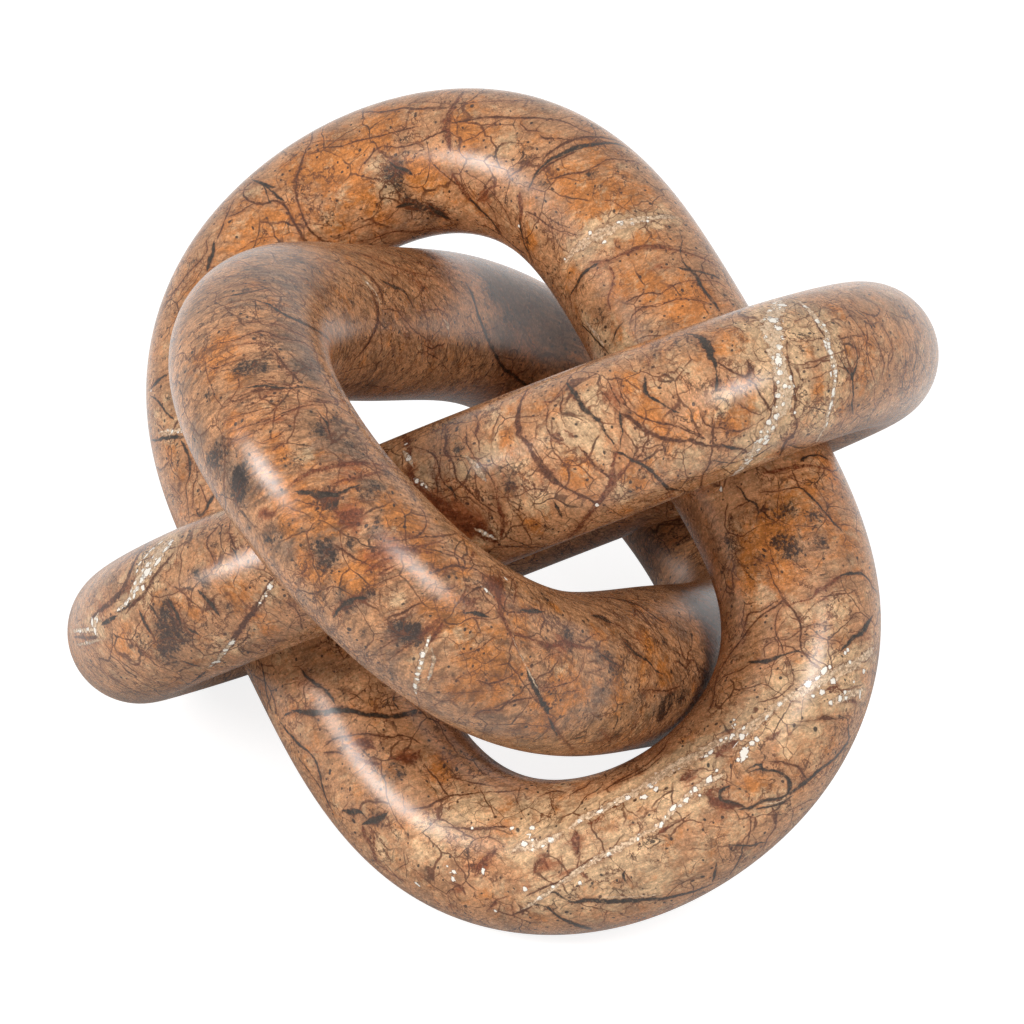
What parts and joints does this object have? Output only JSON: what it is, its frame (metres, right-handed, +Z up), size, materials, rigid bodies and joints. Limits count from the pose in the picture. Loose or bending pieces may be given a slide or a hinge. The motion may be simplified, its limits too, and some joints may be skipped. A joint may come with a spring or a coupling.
{
  "type": "marble chain link sculpture",
  "caption": "Knot of interlocked oval rings of round section in polished brown veined marble, standing on lapped ring ends, a tabletop ornament and paperweight.",
  "frame": {"origin": "on the surface the sculpture stands on, under the middle of its box", "axes": "+Z up, +X to the right and -Y towards a viewer who sees the front link's near end"},
  "size_m": [0.1414, 0.1416, 0.0996],
  "materials": {
    "marble": "polished marble, tan and orange brown with brown, black and white veins"
  },
  "bodies": {
    "front": {"front_link": "marble"},
    "upright": {"upright_link": "marble"},
    "slanted": {"slanted_link": "marble"}
  },
  "joints": [
    {"name": "upright_slide", "type": "slide", "parent": "front", "child": "upright", "axis": [0, -1, 0], "range_m": [0, 0.0016]},
    {"name": "slanted_slide", "type": "slide", "parent": "front", "child": "slanted", "axis": [0.342, -0.9397, 0], "range_m": [0, 0.0038]}
  ]
}
